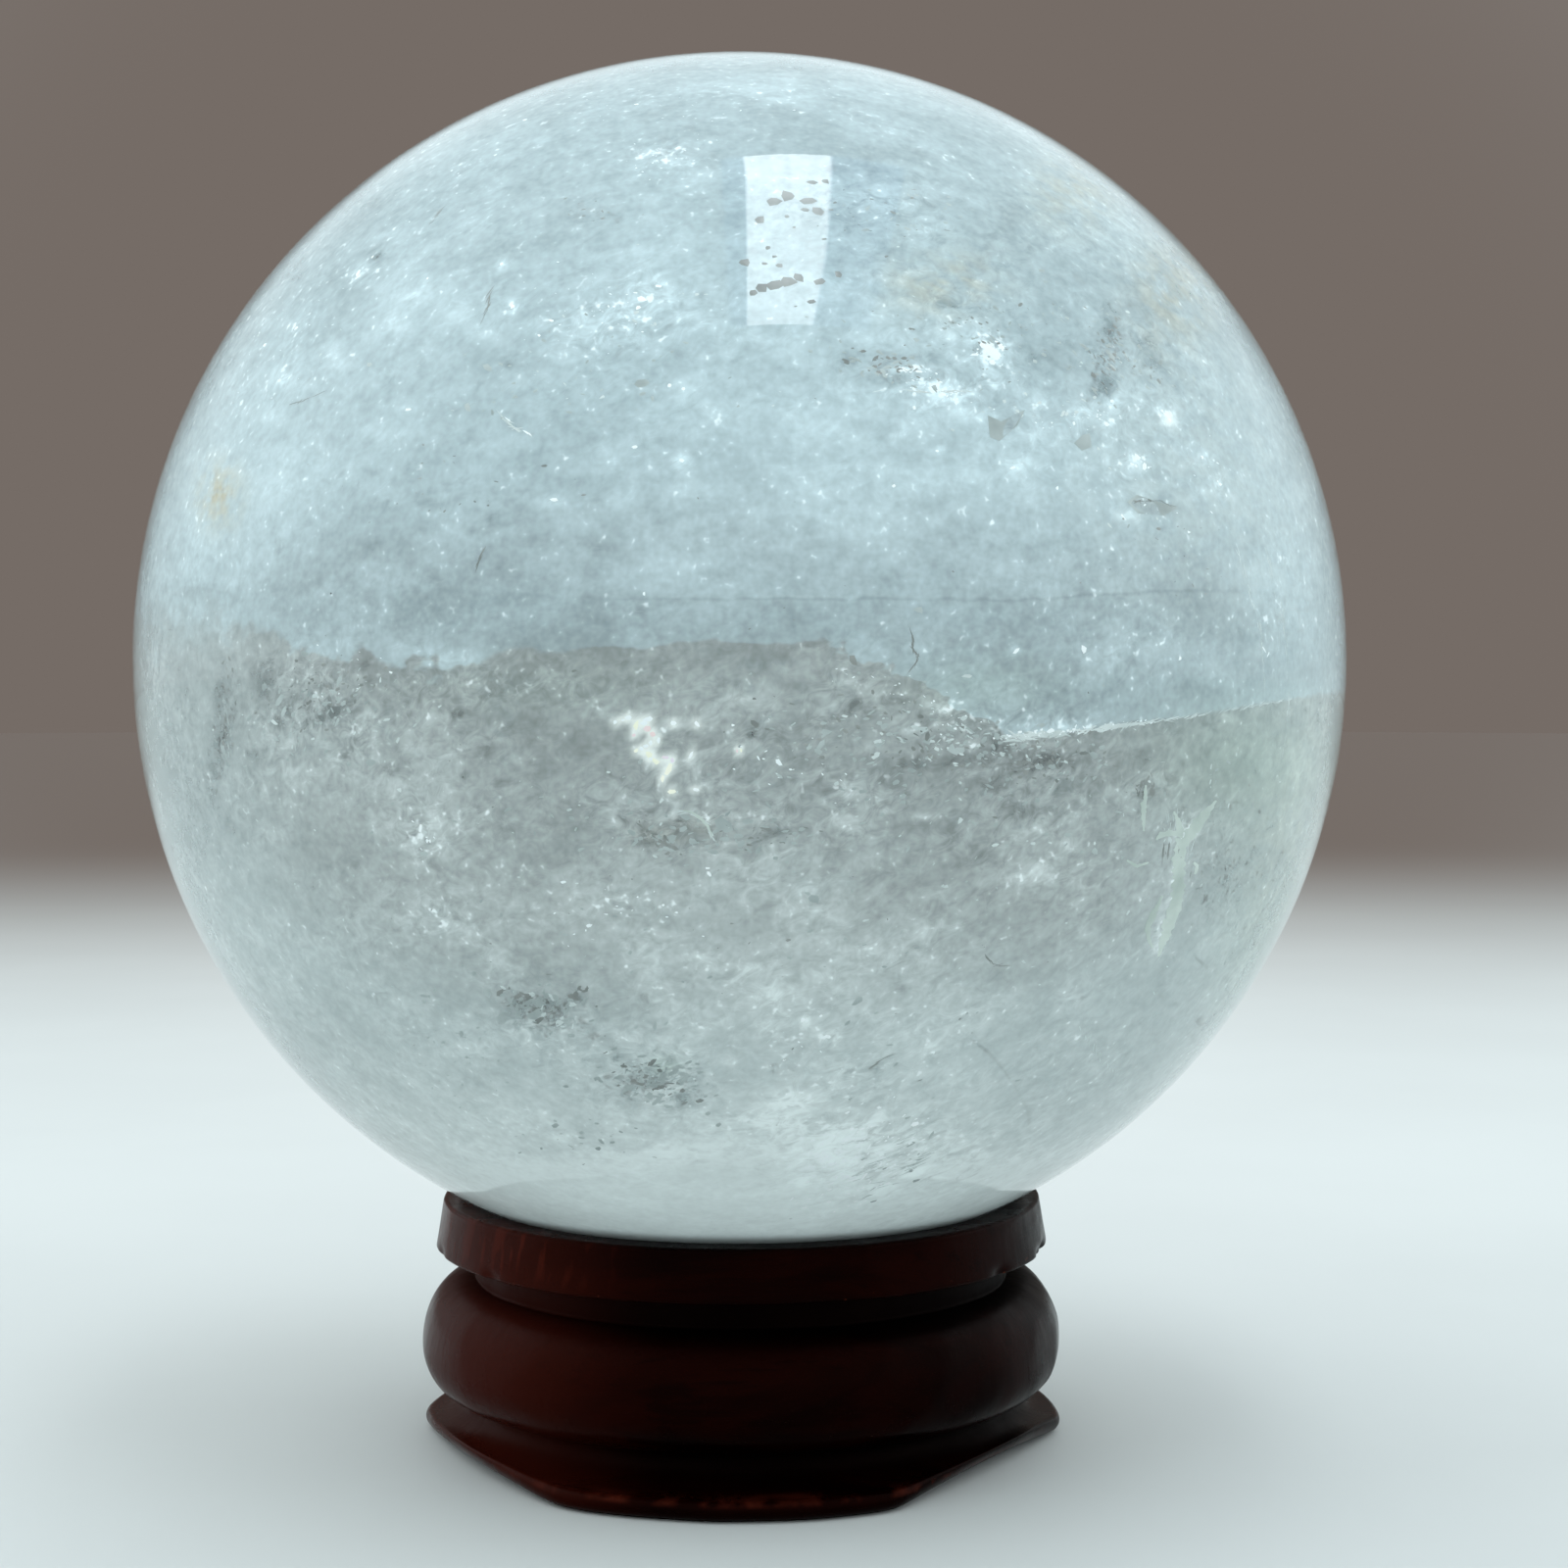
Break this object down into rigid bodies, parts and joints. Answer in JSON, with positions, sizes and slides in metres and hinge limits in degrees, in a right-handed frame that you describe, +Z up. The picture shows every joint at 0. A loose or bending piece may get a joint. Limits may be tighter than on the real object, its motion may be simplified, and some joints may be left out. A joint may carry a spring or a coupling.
{
  "type": "quartz sphere on a turned wood stand",
  "caption": "Polished cloudy quartz ball resting in the dish of a low round wooden stand with a ringed rim, a full bulge and a scalloped flange foot.",
  "frame": {"origin": "on the table, under the middle of the stand and the ball", "axes": "+Z up through the stand and the ball, -Y towards the viewer of the picture, +X to the viewer's right"},
  "size_m": [0.075, 0.075, 0.0864],
  "materials": {
    "polished_quartz": "polished, milky and translucent with veils, clouds and bright flecks inside",
    "varnished_hardwood": "dark reddish-brown stain under gloss varnish"
  },
  "bodies": {
    "root": {"quartz_sphere": "polished_quartz", "wood_stand": "varnished_hardwood"}
  },
  "joints": []
}
